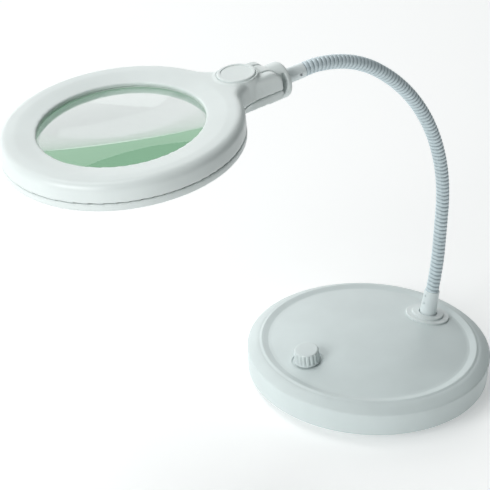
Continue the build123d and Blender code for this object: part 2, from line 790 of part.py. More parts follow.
# the whole outer form: ring, fork and boss in one, later parted into two shells
with BuildPart() as head_form:
    with BuildSketch(head_plane.offset(ring_bottom)) as outline:
        Circle(ring_radius)
        with Locations((0, fork_end_reach / 2)):
            Rectangle(2 * fork_half_width, fork_end_reach)
        crossings = [c for c in outline.vertices() if c.Y < fork_end_reach - 1]
        fillet(crossings, neck_blend)
    extrude(amount=ring_crown - ring_bottom)
    end_face = head_form.faces().sort_by(Axis(head_plane.origin, head_plane.y_dir))[-1]
    end_centres = [edge.center() for edge in end_face.edges()]
    for rim, rounding in ((-1, shoulder_round), (0, bottom_round)):
        rim_edges = head_form.faces().filter_by(head_axis).sort_by(head_axis)[rim].edges()
        fillet([edge for edge in rim_edges if edge.center() not in end_centres], rounding)
    # the fork's top is lower than the ring's crown
    with BuildSketch(head_plane.offset(fork_top)):
        with Locations((0, boss_reach + fork_end_reach / 2)):
            Rectangle(ring_radius, fork_end_reach)
    extrude(amount=10.0, mode=Mode.SUBTRACT)
    # deeper underside of the fork
    with BuildSketch(head_side.offset(-fork_half_width)):
        with BuildLine():
            Polyline(
                (fork_front_reach, ring_bottom + 1.0),
                (fork_front_reach + 8.0, fork_bottom),
                (fork_end_reach, fork_bottom),
                (fork_end_reach, ring_bottom + 4.0),
                (fork_front_reach, ring_bottom + 4.0),
                close=True,
            )
        make_face()
    extrude(amount=2 * fork_half_width)
    # rounded ends of the arms
    with BuildSketch(head_side.offset(-fork_half_width)):
        with Locations((fork_end_reach + 5.0, pivot_height)):
            Rectangle(10.0 + 2 * fork_end_round, 60.0)
        with BuildLine():
            end_arc = CenterArc((pivot_reach, pivot_height), fork_end_round, 0, 90)
            Line(end_arc @ 1, (pivot_reach - 1.0, fork_top))
            Line((pivot_reach - 1.0, fork_top), (pivot_reach - 1.0, fork_bottom))
            low_corner = CenterArc((fork_end_reach - 3.0, fork_bottom + 3.0), 3.0, -90, 90)
            Line((pivot_reach - 1.0, fork_bottom), low_corner @ 0)
            Line(low_corner @ 1, end_arc @ 0)
        make_face(mode=Mode.SUBTRACT)
    extrude(amount=2 * fork_half_width, mode=Mode.SUBTRACT)
    # boss under the cap
    with BuildSketch(head_plane.offset(ring_bottom + 3.0)):
        with Locations((0, boss_reach)):
            Circle(boss_radius)
    extrude(amount=boss_top - ring_bottom - 3.0)
    # slot for the knuckle's tongue, open behind and below
    with BuildSketch(head_side.offset(-slot_half_width)):
        with Locations((pivot_reach, pivot_height)):
            Circle(fork_end_round + knuckle_gap)
        with Locations((fork_end_reach, pivot_height)):
            Rectangle(2 * fork_end_round, 60.0)
        with Locations((pivot_reach, pivot_height - 15.0)):
            Rectangle(2 * (fork_end_round + knuckle_gap), 30.0)
    extrude(amount=2 * slot_half_width, mode=Mode.SUBTRACT)
    # lens opening and the dished top round it
    with BuildSketch(upright(head_plane)):
        Polygon(
            (0, ring_bottom - 20),
            (opening_radius, ring_bottom - 20),
            (opening_radius, 0),
            (crown_radius, ring_crown),
            (0, ring_crown),
            align=None,
        )
    revolve(axis=head_axis, mode=Mode.SUBTRACT)

# everything below the parting line
with BuildPart() as lower_zone:
    with BuildSketch(head_side.offset(-2 * ring_radius)):
        Polygon(
            (-2 * ring_radius, parting_height),
            (fork_front_reach + 9.0, parting_height),
            (fork_front_reach + 14.0, fork_parting),
            (2 * ring_radius, fork_parting),
            (2 * ring_radius, 3 * ring_bottom),
            (-2 * ring_radius, 3 * ring_bottom),
            align=None,
        )
    extrude(amount=4 * ring_radius)

tube_wall = 2.0
flange = 1.6
board_height = -9.0  # upper face of the LED board
cavity_outer = ring_radius - shell_wall
window_outer = 82.0
screw_spots = ((-11.0, 92.0), (11.0, 92.0), (-11.2, 125.4), (11.2, 125.4))
board_post_radius = 2.4

with BuildPart() as head_upper_shell:
    add(head_form.part)
    add(lower_zone.part, mode=Mode.SUBTRACT)
    # ring cavity, with the tube that locates the lens
    with BuildSketch(upright(head_plane)) as cavity:
        with Locations(((tube_radius + tube_wall + cavity_outer) / 2, ring_bottom / 2 - 0.6)):
            Rectangle(cavity_outer - tube_radius - tube_wall, -ring_bottom)
        fillet(cavity.vertices().group_by(Axis.Z)[-1].sort_by(Axis.X)[-1], shoulder_round - shell_wall)
    revolve(axis=head_axis, mode=Mode.SUBTRACT)
    with BuildSketch(upright(head_plane)):
        with Locations((tube_radius / 2, seat_height + ring_bottom)):
            Rectangle(tube_radius, -2 * ring_bottom)
    revolve(axis=head_axis, mode=Mode.SUBTRACT)
    with BuildSketch(head_plane.offset(seat_height - 1.0)):
        Circle(tube_radius + tube_wall)
        Circle(tube_radius, mode=Mode.SUBTRACT)
    extrude(amount=-14.0 - (seat_height - 1.0))
    # posts for the LED board
    with BuildSketch(head_plane.offset(board_height)):
        with led_board_posts():
            Circle(board_post_radius)
            Circle(led_pilot_radius, mode=Mode.SUBTRACT)
    extrude(until=Until.NEXT)
    # way through for the lead, from the ring to the slot
    with BuildSketch(head_plane.offset(pivot_height)):
        with Locations((0, 96.0)):
            Rectangle(7.0, 28.0)
    extrude(amount=-12.0, mode=Mode.SUBTRACT)
    # saddles for the tilt pin, open below
    with BuildSketch(head_side.offset(-tilt_pin_length / 2 - 0.2)):
        with Locations((pivot_reach, pivot_height)):
            Circle(tilt_pin_radius + running_gap)
        with Locations((pivot_reach, pivot_height - 10)):
            Rectangle(2 * (tilt_pin_radius + running_gap), 20)
    extrude(amount=tilt_pin_length + 0.4, mode=Mode.SUBTRACT)
    # pilot holes for the shell screws
    with BuildSketch(head_plane.offset(fork_bottom)):
        with Locations(*screw_spots):
            Circle(1.2)
    extrude(amount=14.0, mode=Mode.SUBTRACT)
    # seat for the cap
    with BuildSketch(head_plane.offset(boss_top - 2.0)):
        with Locations((0, boss_reach)):
            Circle(cap_radius + 0.15)
    extrude(amount=4.0, mode=Mode.SUBTRACT)
head_upper_shell.part.label = "head_upper_shell"
export_step(head_upper_shell.part, "parts/head_upper_shell.step")

with BuildPart() as head_lower_shell:
    add(head_form.part)
    add(lower_zone.part, mode=Mode.INTERSECT)
    with BuildSketch(upright(head_plane)):
        with Locations((window_outer / 2, ring_bottom)):
            Rectangle(window_outer, -2 * ring_bottom)
        with Locations((cavity_outer / 2, flange)):
            Rectangle(cavity_outer, -2 * ring_bottom)
    revolve(axis=head_axis, mode=Mode.SUBTRACT)
    # fine gap along the parting line
    with BuildSketch(head_side.offset(-2 * ring_radius)):
        Polygon(
            (-2 * ring_radius, parting_height + 5),
            (-2 * ring_radius, parting_height - 0.25),
            (fork_front_reach + 9.0, parting_height - 0.25),
            (fork_front_reach + 14.0, fork_parting - 0.25),
            (2 * ring_radius, fork_parting - 0.25),
            (2 * ring_radius, parting_height + 5),
            align=None,
        )
    extrude(amount=4 * ring_radius, mode=Mode.SUBTRACT)
    # posts that hold the tilt pin up in its saddles
    with BuildSketch(head_plane.offset(fork_parting - 1.0)):
        with Locations((-10.0, pivot_reach), (10.0, pivot_reach)):
            Rectangle(4.6, 5.6)
    extrude(amount=pivot_height - tilt_pin_radius - 0.1 - (fork_parting - 1.0))
    # counterbored holes for the shell screws
    with BuildSketch(head_plane.offset(fork_bottom)):
        with Locations(*screw_spots):
            Circle(1.4)
    extrude(amount=10.0, mode=Mode.SUBTRACT)
    with BuildSketch(head_plane.offset(fork_bottom - 1.0)):
        with Locations(*screw_spots):
            Circle(2.6)
    extrude(amount=5.0, mode=Mode.SUBTRACT)
head_lower_shell.part.label = "head_lower_shell"
export_step(head_lower_shell.part, "parts/head_lower_shell.step")

screw_seat = fork_bottom + 4.0

with BuildPart() as head_screws:
    with BuildSketch(head_plane.offset(screw_seat)):
        with Locations(*screw_spots):
            Circle(2.4)
    extrude(amount=-1.8)
    with BuildSketch(head_plane.offset(screw_seat)):
        with Locations(*screw_spots):
            Circle(1.2)
    extrude(amount=9.0)
    with BuildSketch(head_plane.offset(screw_seat - 1.8)):
        with Locations(*screw_spots):
            Rectangle(2.8, 0.6)
            Rectangle(0.6, 2.8)
    extrude(amount=0.9, mode=Mode.SUBTRACT)
head_screws.part.label = "head_screws"
export_step(head_screws.part, "parts/head_screws.step")

# ---------------------------------------------------------------- lens and lighting
lens_sag = lens_curve_radius - (lens_curve_radius**2 - lens_radius**2) ** 0.5

with BuildPart() as lens:
    with BuildSketch(upright(head_plane)):
        with BuildLine():
            upper = RadiusArc(
                (0, lens_edge_height + lens_sag), (lens_radius, lens_edge_height), lens_curve_radius
            )
            edge = Line(upper @ 1, (lens_radius, lens_edge_height - lens_edge))
            lower_arc = RadiusArc(
                edge @ 1, (0, lens_edge_height - lens_edge - lens_sag), lens_curve_radius
            )
            Line(lower_arc @ 1, upper @ 0)
        make_face()
    revolve(axis=head_axis)
lens.part.label = "lens"
export_step(lens.part, "parts/lens.step")

with BuildPart() as lens_gasket:
    with BuildSketch(head_plane.offset(seat_height - 0.05)):
        Circle(lens_radius + 0.2)
        Circle(opening_radius + 0.6, mode=Mode.SUBTRACT)
    extrude(amount=-0.75)
lens_gasket.part.label = "lens_gasket"
export_step(lens_gasket.part, "parts/lens_gasket.step")

bezel_opening = opening_radius + 0.4
bezel_rim = window_outer - 12.5

with BuildPart() as lens_bezel:
    with BuildSketch(upright(head_plane)):
        Polygon(
            (bezel_opening, ring_bottom),
            (bezel_rim, ring_bottom),
            (bezel_rim, ring_bottom + flange),
            (tube_radius - 0.2, ring_bottom + flange),
            (tube_radius - 0.2, lens_edge_height - lens_edge - 0.5),
            (bezel_opening + 0.8, lens_edge_height - lens_edge - 0.5),
            (bezel_opening, ring_bottom + 2 * flange),
            align=None,
        )
    revolve(axis=head_axis)
lens_bezel.part.label = "lens_bezel"
export_step(lens_bezel.part, "parts/lens_bezel.step")

with BuildPart() as diffuser_ring:
    with BuildSketch(head_plane.offset(ring_bottom + flange + 0.1)):
        Circle(window_outer + 1.6)
        Circle(tube_radius + tube_wall + 0.4, mode=Mode.SUBTRACT)
    extrude(amount=1.5)
diffuser_ring.part.label = "diffuser_ring"
export_step(diffuser_ring.part, "parts/diffuser_ring.step")

with BuildPart() as led_board:
    with BuildSketch(head_plane.offset(board_height)):
        Circle(window_outer)
        Circle(tube_radius + tube_wall + 0.8, mode=Mode.SUBTRACT)
        with led_board_posts():
            Circle(led_pilot_radius + 0.3, mode=Mode.SUBTRACT)
    extrude(amount=-board_thickness)
led_board.part.label = "led_board"
export_step(led_board.part, "parts/led_board.step")

led_seat = board_height - board_thickness

with BuildPart() as leds:
    with BuildSketch(head_plane.offset(led_seat)):
        with PolarLocations(led_circle_radius, led_count):
            Rectangle(2.8, 3.5)
    extrude(amount=-0.8)
leds.part.label = "leds"
export_step(leds.part, "parts/leds.step")

with BuildPart() as led_board_screws:
    with BuildSketch(head_plane.offset(led_seat)):
        with led_board_posts():
            Circle(1.9)
    extrude(amount=-1.2)
    with BuildSketch(head_plane.offset(led_seat)):
        with led_board_posts():
            Circle(led_pilot_radius)
    extrude(amount=5.0)
led_board_screws.part.label = "led_board_screws"
export_step(led_board_screws.part, "parts/led_board_screws.step")

with BuildPart() as neck_cap:
    with BuildSketch(head_plane.offset(boss_top - 1.95)):
        with Locations((0, boss_reach)):
            Circle(cap_radius)
    extrude(amount=cap_top - boss_top + 1.95)
    fillet(neck_cap.faces().sort_by(head_axis)[-1].edges(), 0.9)
    with BuildSketch(head_plane.offset(cap_top - 0.5)):
        with Locations((0, boss_reach)):
            Circle(cap_radius - 2.4)
    extrude(amount=1.0, mode=Mode.SUBTRACT)
neck_cap.part.label = "neck_cap"
export_step(neck_cap.part, "parts/neck_cap.step")
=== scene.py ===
"""Looks of the magnifying lamp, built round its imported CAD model.  Metres, in the model's frame."""

import json
import math

import bmesh
import bpy
from mathutils import Matrix, Vector


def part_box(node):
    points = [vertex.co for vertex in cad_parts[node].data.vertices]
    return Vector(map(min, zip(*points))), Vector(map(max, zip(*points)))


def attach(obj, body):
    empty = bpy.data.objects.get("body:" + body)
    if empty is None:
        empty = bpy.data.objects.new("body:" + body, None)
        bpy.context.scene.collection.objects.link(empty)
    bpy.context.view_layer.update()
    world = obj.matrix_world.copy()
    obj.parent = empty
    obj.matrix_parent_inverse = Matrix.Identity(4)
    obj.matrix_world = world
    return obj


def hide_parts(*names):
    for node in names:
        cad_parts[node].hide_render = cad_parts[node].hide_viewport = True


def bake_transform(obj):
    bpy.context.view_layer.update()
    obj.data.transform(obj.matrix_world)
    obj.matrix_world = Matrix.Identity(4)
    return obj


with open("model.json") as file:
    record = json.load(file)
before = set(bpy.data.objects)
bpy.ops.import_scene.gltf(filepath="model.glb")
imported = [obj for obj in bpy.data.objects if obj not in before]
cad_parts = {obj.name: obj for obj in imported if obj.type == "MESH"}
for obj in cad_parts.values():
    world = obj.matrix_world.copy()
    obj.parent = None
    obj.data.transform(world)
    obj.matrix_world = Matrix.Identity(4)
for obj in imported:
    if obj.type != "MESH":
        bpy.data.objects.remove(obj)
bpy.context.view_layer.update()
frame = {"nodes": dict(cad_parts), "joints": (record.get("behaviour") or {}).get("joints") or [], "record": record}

MM = 0.001
nodes = frame["nodes"]
joints = {joint["name"]: joint for joint in frame["joints"]}


# ------------------------------------------------------------------ mesh helpers
def shade_smooth(mesh):
    """Smooth shading on every face."""
    for face in mesh.polygons:
        face.use_smooth = True


def new_object(name, mesh):
    """An object for a mesh, shaded smooth, linked to the scene."""
    piece = bpy.data.objects.new(name, mesh)
    bpy.context.scene.collection.objects.link(piece)
    shade_smooth(mesh)
    return piece


def grid_mesh(name, rings):
    """A tube-like mesh through rings of points, each ring closed, with flat faces at both ends."""
    mesh = bpy.data.meshes.new(name)
    around = len(rings[0])
    points = [point for ring in rings for point in ring]
    faces = []
    for row in range(len(rings) - 1):
        low, high = row * around, (row + 1) * around
        for step in range(around):
            after = (step + 1) % around
            faces.append((low + step, low + after, high + after, high + step))
    faces.append(tuple(reversed(range(around))))
    top = (len(rings) - 1) * around
    faces.append(tuple(top + step for step in range(around)))
    mesh.from_pydata(points, [], faces)
    mesh.validate()
    mesh.update()
    return mesh


def keep_edges(piece, degrees_kept):
    """Smooth shading that stays crisp where faces meet at more than an angle."""
    mesh = piece.data
    work = bmesh.new()
    work.from_mesh(mesh)
    for edge in work.edges:
        if len(edge.link_faces) == 2:
            edge.smooth = edge.calc_face_angle(0.0) < math.radians(degrees_kept)
    work.to_mesh(mesh)
    work.free()


def frame_at(origin, normal):
    """A matrix at a point whose local Z is the normal and whose local X is nearly the world's."""
    across = Vector((1, 0, 0))
    z_dir = Vector(normal).normalized()
    x_dir = (across - across.dot(z_dir) * z_dir).normalized()
    y_dir = z_dir.cross(x_dir)
    matrix = Matrix((x_dir, y_dir, z_dir)).transposed().to_4x4()
    matrix.translation = Vector(origin)
    return matrix


def turned(place, profile, around, ripple=None):
    """Rings for a solid of revolution, from a profile of (radius, height) from end to end.

    A ripple, where given, turns (row, radius, angle) into the radius there.
    """
    rings = []
    for row, (radius, height) in enumerate(profile):
        ring = []
        for step in range(around):
            angle = 2 * math.pi * step / around
            here = radius if ripple is None else ripple(row, radius, angle)
            ring.append(place @ Vector((here * math.cos(angle), here * math.sin(angle), height)))
        rings.append(ring)
    return rings


def arc(centre, radius, start, end, steps):
    """Points (radius, height) along a round edge, angles in degrees from outwards to upwards."""
    points = []
    for step in range(steps + 1):
        angle = math.radians(start + (end - start) * step / steps)
        points.append((centre[0] + radius * math.cos(angle), centre[1] + radius * math.sin(angle)))
    return points


def soften(node, name, voxel, rounds):
    """A copy of a CAD node with its sharp edges melted: voxel remeshed, then smoothed."""
    piece = new_object(name, nodes[node].data.copy())
    remesh = piece.modifiers.new("remesh", "REMESH")
    remesh.mode = "VOXEL"
    remesh.voxel_size = voxel
    smooth = piece.modifiers.new("smooth", "SMOOTH")
    smooth.factor = 0.5
    smooth.iterations = rounds
    baked(piece)
    piece.data.materials.clear()
    shade_smooth(piece.data)
    return piece


def baked(piece):
    """Swap a piece's mesh for its modifiers' result."""
    bpy.context.view_layer.update()
    shaped = piece.evaluated_get(bpy.context.evaluated_depsgraph_get())
    mesh = bpy.data.meshes.new_from_object(shaped)
    piece.modifiers.clear()
    piece.data = mesh


def drill(piece, place, radius, low, high, around):
    """Cut a round hole into a piece, along a place's Z from low to high."""
    rings = turned(place, [(radius, low), (radius, high)], around)
    cutter = new_object("cutter", grid_mesh("cutter", rings))
    hole = piece.modifiers.new("hole", "BOOLEAN")
    hole.operation = "DIFFERENCE"
    hole.solver = "EXACT"
    hole.object = cutter
    baked(piece)
    bpy.data.objects.remove(cutter)


# ------------------------------------------------------------------ materials
cloud_size = 45 * MM  # patches of slightly different colour
wipe_size = 12 * MM  # patches of slightly different gloss
swell_size = 9 * MM  # the moulding's slow unevenness
swell_depth = 0.02 * MM
cloud_dark, cloud_light = 0.965, 1.02  # the colour's two ends, as shares of it
coat_roughness = 0.12
# painted shade in the gooseneck's grooves: its colour, and how far it takes over
groove_shade_colour = (0.17, 0.23, 0.26)
groove_shade = 0.65  # how far the painted shade colour takes over at a groove's bottom
glass_tint = (0.62, 0.66, 0.65)
crown_glass_ior = 1.523
caught_green = (0.44, 0.78, 0.52)
caught_strength = 0.75
caught_depth = 2.5
tracks_per_metre = 120.0


def material(name):
    """A new node material: (material, its nodes, its links, its Principled shader)."""
    made = bpy.data.materials.new(name)
    made.use_nodes = True
    tree = made.node_tree
    return made, tree.nodes, tree.links, tree.nodes["Principled BSDF"]


def object_noise(tree_nodes, links, size, detail=2.0, roughness=0.5):
    """A noise texture whose grains are about size metres across, fixed to the object."""
    place = tree_nodes.new("ShaderNodeTexCoord")
    noise = tree_nodes.new("ShaderNodeTexNoise")
    noise.inputs["Scale"].default_value = 1.0 / size
    noise.inputs["Detail"].default_value = detail
    noise.inputs["Roughness"].default_value = roughness
    links.new(place.outputs["Object"], noise.inputs["Vector"])
    return noise


def ramp(tree_nodes, links, source, low, high, start=0.35, end=0.65):
    """A colour ramp between two colours, driven by a texture."""
    node = tree_nodes.new("ShaderNodeValToRGB")
    node.color_ramp.elements[0].position = start
    node.color_ramp.elements[0].color = (*low, 1)
    node.color_ramp.elements[1].position = end
    node.color_ramp.elements[1].color = (*high, 1)
    links.new(source, node.inputs["Fac"])
    return node


def spread(tree_nodes, links, source, low, high):
    """A texture's 0 to 1 brought to low to high."""
    node = tree_nodes.new("ShaderNodeMapRange")
    node.inputs["To Min"].default_value = low
    node.inputs["To Max"].default_value = high
    links.new(source, node.inputs["Value"])
    return node


def bump(tree_nodes, links, source, depth, before=None):
    """A bump of a depth in metres, on top of an earlier bump where one is given."""
    node = tree_nodes.new("ShaderNodeBump")
    node.inputs["Distance"].default_value = depth
    node.inputs["Strength"].default_value = 1.0
    links.new(source, node.inputs["Height"])
    if before is not None:
        links.new(before.outputs["Normal"], node.inputs["Normal"])
    return node


def moulded(name, colour, roughness, grain=0.35 * MM, grain_depth=0.006 * MM, coat=0.0, metallic=0.0):
    """Moulded or painted surface: fine grain, faint clouding of colour and of gloss."""
    made, tree_nodes, links, shader = material(name)
    cloud = object_noise(tree_nodes, links, cloud_size, 3.0)
    tone = ramp(tree_nodes, links, cloud.outputs["Fac"],
                tuple(cloud_dark * c for c in colour), tuple(min(1.0, cloud_light * c) for c in colour))
    links.new(tone.outputs["Color"], shader.inputs["Base Color"])
    wipe = object_noise(tree_nodes, links, wipe_size, 4.0, 0.6)
    gloss = spread(tree_nodes, links, wipe.outputs["Fac"], roughness - 0.05, roughness + 0.07)
    links.new(gloss.outputs["Result"], shader.inputs["Roughness"])
    fine = object_noise(tree_nodes, links, grain, 1.0)
    wave = object_noise(tree_nodes, links, swell_size, 1.0)
    swell = bump(tree_nodes, links, wave.outputs["Fac"], swell_depth)
    relief = bump(tree_nodes, links, fine.outputs["Fac"], grain_depth, before=swell)
    links.new(relief.outputs["Normal"], shader.inputs["Normal"])
    shader.inputs["Coat Weight"].default_value = coat
    shader.inputs["Coat Roughness"].default_value = coat_roughness
    shader.inputs["Metallic"].default_value = metallic
    return made


def ribbed(name, colour, roughness):
    """Painted wound strip, with painted shade darkening its colour down in its grooves."""
    made = moulded(name, colour, roughness, 0.25 * MM, 0.004 * MM, metallic=0.15)
    tree_nodes, links = made.node_tree.nodes, made.node_tree.links
    shader = tree_nodes["Principled BSDF"]
    paint = shader.inputs["Base Color"].links[0].from_socket
    # painted shade: the paint's colour is darkened towards a dark blue-grey down in each groove
    depth = tree_nodes.new("ShaderNodeAttribute")
    depth.attribute_name = "groove"
    painted_shade_mix = tree_nodes.new("ShaderNodeMix")
    painted_shade_mix.data_type = "RGBA"
    painted_shade_mix.inputs["B"].default_value = (*groove_shade_colour, 1)
    shade = spread(tree_nodes, links, depth.outputs["Fac"], 0.0, groove_shade)
    links.new(shade.outputs["Result"], painted_shade_mix.inputs["Factor"])
    links.new(paint, painted_shade_mix.inputs["A"])
    links.new(painted_shade_mix.outputs["Result"], shader.inputs["Base Color"])
    return made


def brushed(name, colour, roughness):
    """Turned or zinc-plated steel with fine lines."""
    made, tree_nodes, links, shader = material(name)
    fine = object_noise(tree_nodes, links, 0.2 * MM, 3.0, 0.7)
    tone = ramp(tree_nodes, links, fine.outputs["Fac"], tuple(0.85 * c for c in colour), colour)
    links.new(tone.outputs["Color"], shader.inputs["Base Color"])
    gloss = spread(tree_nodes, links, fine.outputs["Fac"], roughness - 0.06, roughness + 0.08)
    links.new(gloss.outputs["Result"], shader.inputs["Roughness"])
    relief = bump(tree_nodes, links, fine.outputs["Fac"], 0.01 * MM)
    links.new(relief.outputs["Normal"], shader.inputs["Normal"])
    shader.inputs["Metallic"].default_value = 1.0
    return made


def glass():
    """Faintly green crown glass, with the slightest ripple of its polish."""
    made, tree_nodes, links, shader = material("lens_glass")
    shader.inputs["Base Color"].default_value = (*glass_tint, 1)
    shader.inputs["Transmission Weight"].default_value = 1.0
    shader.inputs["IOR"].default_value = crown_glass_ior
    wipe = object_noise(tree_nodes, links, 30 * MM, 3.0)
    gloss = spread(tree_nodes, links, wipe.outputs["Fac"], 0.0, 0.03)
    links.new(gloss.outputs["Result"], shader.inputs["Roughness"])
    # A stand-in for light caught inside the glass, which the renderer gives up on as black: a ray
    # that has bounced often enough gets a green glow instead.  It shows where the lens reflects
    # inside, so it lies elsewhere on the lens from another side, and its colour is given.
    caught = tree_nodes.new("ShaderNodeEmission")
    caught.inputs["Color"].default_value = (*caught_green, 1)
    caught.inputs["Strength"].default_value = caught_strength
    path = tree_nodes.new("ShaderNodeLightPath")
    deep = tree_nodes.new("ShaderNodeMath")
    deep.operation = "GREATER_THAN"
    deep.inputs[1].default_value = caught_depth
    links.new(path.outputs["Ray Depth"], deep.inputs[0])
    blend = tree_nodes.new("ShaderNodeMixShader")
    links.new(deep.outputs["Value"], blend.inputs["Fac"])
    links.new(shader.outputs["BSDF"], blend.inputs[1])
    links.new(caught.outputs["Emission"], blend.inputs[2])
    links.new(blend.outputs["Shader"], tree_nodes["Material Output"].inputs["Surface"])
    return made


def board(name, colour):
    """A printed board: solder resist over faint tracks."""
    made, tree_nodes, links, shader = material(name)
    place = tree_nodes.new("ShaderNodeTexCoord")
    tracks = tree_nodes.new("ShaderNodeTexBrick")
    tracks.inputs["Scale"].default_value = tracks_per_metre
    links.new(place.outputs["Object"], tracks.inputs["Vector"])
    darker = tuple(0.7 * c for c in colour)
    tone = ramp(tree_nodes, links, tracks.outputs["Fac"], colour, darker, 0.2, 0.8)
    links.new(tone.outputs["Color"], shader.inputs["Base Color"])
    relief = bump(tree_nodes, links, tracks.outputs["Fac"], 0.03 * MM)
    links.new(relief.outputs["Normal"], shader.inputs["Normal"])
    shader.inputs["Roughness"].default_value = 0.4
    return made


shell_white = (0.74, 0.80, 0.79)
finishes = {
    "base_shell": moulded("base_abs", (0.67, 0.745, 0.745), 0.44),
    "base_pad": moulded("foam_rubber", (0.05, 0.05, 0.05), 0.85, 0.6 * MM, 0.05 * MM),
    "base_weight": moulded("blackened_steel", (0.10, 0.10, 0.11), 0.55, 0.5 * MM, 0.02 * MM,
                           metallic=0.8),
    "steel_fasteners": brushed("zinc_plate", (0.62, 0.64, 0.66), 0.32),
    "driver_board": board("green_board", (0.03, 0.20, 0.09)),
    "inlet": moulded("black_nylon", (0.03, 0.03, 0.03), 0.5),
    "dimmer_body": moulded("pot_body", (0.05, 0.09, 0.22), 0.45),
    "dimmer_metal": brushed("nickel", (0.68, 0.66, 0.60), 0.28),
    "knob": moulded("knob_abs", (0.66, 0.73, 0.73), 0.32, coat=0.15),
    "collar": moulded("collar_abs", (0.70, 0.76, 0.76), 0.34),
    "ferrule": moulded("ferrule_paint", (0.80, 0.87, 0.88), 0.34, 0.25 * MM, 0.004 * MM,
                       metallic=0.1),
    "gooseneck": ribbed("gooseneck_paint", (0.66, 0.76, 0.80), 0.34),
    "head_shell": moulded("head_abs", shell_white, 0.30),
    "cap": moulded("cap_abs", (0.76, 0.82, 0.81), 0.36),
    "pin": brushed("ground_steel", (0.60, 0.61, 0.62), 0.25),
    "friction_washer": moulded("nylon", (0.70, 0.68, 0.58), 0.5),
    "lens": glass(),
    "gasket": moulded("gasket_silicone", (0.66, 0.72, 0.70), 0.6),
    "diffuser": moulded("opal_acrylic", (0.88, 0.90, 0.88), 0.4),
    "led_board": board("white_board", (0.80, 0.82, 0.80)),
    "leds": moulded("phosphor", (0.85, 0.72, 0.22), 0.35),
}


def wear(piece, slot):
    """Give a piece the finish of a record slot."""
    piece.data.materials.clear()
    piece.data.materials.append(finishes[slot])
    return piece


slot_of = {entry["node"]: entry["material_slot"] for entry in frame["record"]["subparts"]}
for node_name, node_object in nodes.items():
    for material_slot in node_object.material_slots:
        material_slot.material = finishes[slot_of[node_name]]
for material_slot in nodes["lower_set_screws"].material_slots:
    material_slot.material = finishes["ferrule"]  # painted over with the ferrule


# ------------------------------------------------------------------ gooseneck
# The neck's centre line lies in the plane X = 0.  It starts on the cover, opposite the knob.
knob_joint = joints["dimmer_turn"]
foot = Vector((0, -knob_joint["pos_m"][1], knob_joint["pos_m"][2]))
foot_lean = math.atan2(-knob_joint["axis"][1], knob_joint["axis"][2])
hinge_names = [name for name in joints if name.startswith("neck_")]

neck_radius = 5.75 * MM
rib_pitch = 3.75 * MM
rib_depth = 0.80 * MM
main_turn = math.radians(58.3)
crown_turn = math.pi / 2 - main_turn  # together they bring the neck from upright to level
end_slope = math.radians(8)
ferrule_length = 24.5 * MM
tucked_in = 16 * MM  # how much of the wound tube is hidden in the lower ferrule
neck_start = ferrule_length - tucked_in
blend_share = 0.45  # share of a link on both sides of each hinge; the centre line is walked there, and nothing uses the result
rib_sharpness = 3.0
# each stretch: length, then bend radius (None where straight), bending forward over the base
neck_stretches = [
    (30 * MM, None),
    (284 * MM * foot_lean, 284 * MM),
    (33.77 * MM, None),
    (176 * MM * main_turn, 176 * MM),
    (110.5 * MM * crown_turn, 110.5 * MM),
    (45 * MM * end_slope, 45 * MM),
    (6.42 * MM, None),
]
neck_end = sum(length for length, _ in neck_stretches)
link_length = (neck_end - ferrule_length) / len(hinge_names)
hinge_stations = [ferrule_length + link_length * (n + 0.5) for n in range(len(hinge_names))]


def walk(station):
    """The centre line's point and direction at a distance along the neck from the cover."""
    y, z, lean = foot.y, foot.z, foot_lean
    left = station
    for length, bend in neck_stretches:
        step = min(left, length)
        if bend is None:
            y, z = y + step * math.sin(lean), z + step * math.cos(lean)
        else:
            after = lean - step / bend
            y += bend * (math.cos(after) - math.cos(lean))
            z += bend * (math.sin(lean) - math.sin(after))
            lean = after
        left -= step
        if left <= 0:
            break
    return Vector((0, y, z)), Vector((0, math.sin(lean), math.cos(lean)))


def groove(station, angle):
    """Depth in the groove between two turns of the wound strip: 0 on the crest, 1 at the bottom."""
    turn = (station / rib_pitch + angle / (2 * math.pi)) % 1.0
    return abs(2 * turn - 1) ** rib_sharpness


def neck_piece(name, start, end, around=56, rows_per_pitch=14):
    """The wound tube between two stations, with each point's groove depth as an attribute."""
    rows = max(2, round((end - start) / rib_pitch * rows_per_pitch))
    rings, depths = [], []
    for row in range(rows + 1):
        station = start + (end - start) * row / rows
        point, along = walk(station)
        place = frame_at(point, along)
        ring = []
        for step in range(around):
            angle = 2 * math.pi * step / around
            depth = groove(station, angle)
            radius = neck_radius - rib_depth * depth
            ring.append(place @ Vector((radius * math.cos(angle), radius * math.sin(angle), 0)))
            depths.append(depth)
        rings.append(ring)
    piece = new_object(name, grid_mesh(name, rings))
    piece.data.attributes.new("groove", "FLOAT", "POINT").data.foreach_set("value", depths)
    keep_edges(piece, 60)
    return piece


cuts = [neck_start] + [(a + b) / 2 for a, b in zip(hinge_stations, hinge_stations[1:])] + [neck_end]
for number, station in enumerate(hinge_stations):
    piece = wear(neck_piece(f"gooseneck_{number}", cuts[number], cuts[number + 1]), "gooseneck")
    reach = blend_share * link_length
    first = max(station - reach, ferrule_length + 2 * MM)
    walk(first)[0]
    walk(station + reach)[0]
    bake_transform(piece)
    if number < len(hinge_stations) - 1:
        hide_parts(f"neck_link_{number}")
    else:
        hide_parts(f"neck_link_{number}", f"neck_link_{number + 1}")


# ------------------------------------------------------------------ base cover
knob_place = frame_at(knob_joint["pos_m"], knob_joint["axis"])
foot_place = frame_at(foot, (0, math.sin(foot_lean), math.cos(foot_lean)))
cover_low, cover_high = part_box("base_cover")
plate_radius = 87.0 * MM
plate_edge = 30.8 * MM
apex = cover_high.z
rim_radius = cover_high.x
rim_bottom = cover_low.z
wall = 2.5 * MM
rim_round = 2.18 * MM
well_radius = 13.5 * MM
well_depth = 1.0 * MM
bush_hole_radius = 3.6 * MM
neck_hole_radius = 5.2 * MM
below_cover, above_cover = -8 * MM, 4 * MM  # how far the drills reach through the cover
